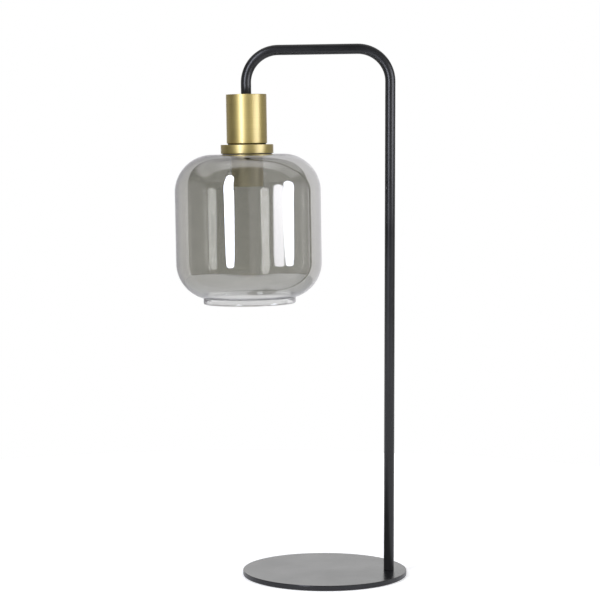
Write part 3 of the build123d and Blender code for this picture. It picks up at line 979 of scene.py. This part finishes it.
def light_panel(
    name,
    bearing,
    across,
    low,
    high,
    wide,
    lean,
    ends,
    strength,
    soft,
    tone=COOL_TONE,
    inside=1.0,
    tip=0.0,
    dull=1.0,
    hem=0.0,
):
    """Upright light that faces the shade and isn't seen directly.

    bearing: its direction, in degrees to the right of the camera
    across, lean: its shift to the right, and how much further each metre of height takes it
    low, high, wide: its lower and upper end, from the middle of the shade, and its width
    ends: the lengths over which its bottom and top are rounded
    strength, soft: its brightness, and the share of its half width over which its edge fades
    inside: the share of its strength that the inner faces of the glass see
    tip: how far its rounded top bends sideways, as a share of its half width
    dull, hem: the share of its strength, and the extra length at its bottom, for brushed surfaces
    """
    turn = radians(bearing)
    way = Vector((sin(turn), -cos(turn), 0))
    side = Vector((cos(turn), sin(turn), 0))
    along = (Vector((0, 0, 1)) + side * lean).normalized()
    low -= hem
    tall = (high - low) / along.z
    middle = (low + high) / 2
    bottom_end, top_end = (end / tall for end in ends)

    light = bpy.data.lights.new(name, "AREA")
    light.shape = "RECTANGLE"
    light.size = wide
    light.size_y = tall
    light.color = tone
    light.energy = strength * pi * wide * tall
    panel = bpy.data.objects.new(name, light)
    bpy.context.collection.objects.link(panel)
    spot = SHADE_MIDDLE + Vector((0, 0, middle)) + way * PANEL_DISTANCE + side * (across + lean * middle)
    facing = Matrix((along.cross(way), along, way)).transposed().to_4x4()
    panel.matrix_world = Matrix.Translation(spot) @ facing
    panel.visible_camera = False

    light.use_nodes = True
    tree = light.node_tree
    path = add(tree, "ShaderNodeLightPath").outputs
    sharp = calc(tree, "GREATER_THAN", path["Glossy Depth"], FIRST_BOUNCE)
    x, up = parts_of(tree, add(tree, "ShaderNodeNewGeometry").outputs["Parametric"])[:2]
    half = product(tree, calc(tree, "SUBTRACT", x, 0.5), 2.0)
    foot = calc(tree, "ADD", product(tree, sharp, hem / (high - low)), bottom_end)
    below = calc(tree, "DIVIDE", calc(tree, "SUBTRACT", foot, up), bottom_end)
    above = calc(tree, "DIVIDE", calc(tree, "SUBTRACT", up, 1 - top_end), top_end)
    end = calc(tree, "MAXIMUM", calc(tree, "MAXIMUM", below, above), 0.0)
    half = calc(tree, "SUBTRACT", half, product(tree, calc(tree, "MAXIMUM", above, 0.0), tip))
    away = calc(tree, "ADD", calc(tree, "POWER", half, 2.0), calc(tree, "POWER", end, 2.0))
    shape = ramp(tree, calc(tree, "SQRT", away), (1 - soft, 1.0), (1.0, 0.0))
    through = product(
        tree,
        calc(tree, "GREATER_THAN", path["Transmission Depth"], FIRST_BOUNCE),
        calc(tree, "LESS_THAN", path["Diffuse Depth"], FIRST_BOUNCE),
    )
    lit = product(
        tree,
        calc(tree, "SUBTRACT", 1.0, seen_straight(tree)),
        mix(tree, "FLOAT", through, 1.0, inside),
        mix(tree, "FLOAT", sharp, dull, 1.0),
    )
    feed(tree, product(tree, shape, lit), tree.nodes["Emission"].inputs["Strength"])


studio_floor()
studio_world()
light_panel(
    "left_panel",
    bearing=-30.2,
    across=0.078,
    low=-0.25,
    high=2.0,
    wide=0.41,
    lean=-0.1,
    ends=(0.27, 0.65),
    strength=9.5,
    soft=0.06,
    inside=0.8,
    tip=-0.4,
    hem=0.6,
)
light_panel(
    "right_panel",
    bearing=67,
    across=-0.02,
    low=-0.185,
    high=0.83,
    wide=0.51,
    lean=0.17,
    ends=(0.2, 0.26),
    strength=5.0,
    soft=0.06,
    inside=1.25,
    dull=0.25,
)
light_panel(
    "right_soft_panel",
    bearing=48.8,
    across=0.0,
    low=-0.2,
    high=0.7,
    wide=0.56,
    lean=0.08,
    ends=(0.1, 0.3),
    strength=4.5,
    soft=0.4,
    tone=SOFT_TONE,
    inside=0.0,
    dull=1.25,
    hem=0.6,
)

camera = bpy.data.cameras.new("photo_camera")
camera.lens = CAMERA_LENS
camera.sensor_width = SENSOR_WIDTH
camera.sensor_fit = "HORIZONTAL"
camera.clip_end = CAMERA_REACH
eye = bpy.data.objects.new("photo_camera", camera)
bpy.context.collection.objects.link(eye)
eye.location = CAMERA_PLACE
eye.rotation_euler = (radians(90 - CAMERA_TILT), 0, 0)
bpy.context.scene.camera = eye
bpy.context.scene.view_settings.view_transform = "Standard"
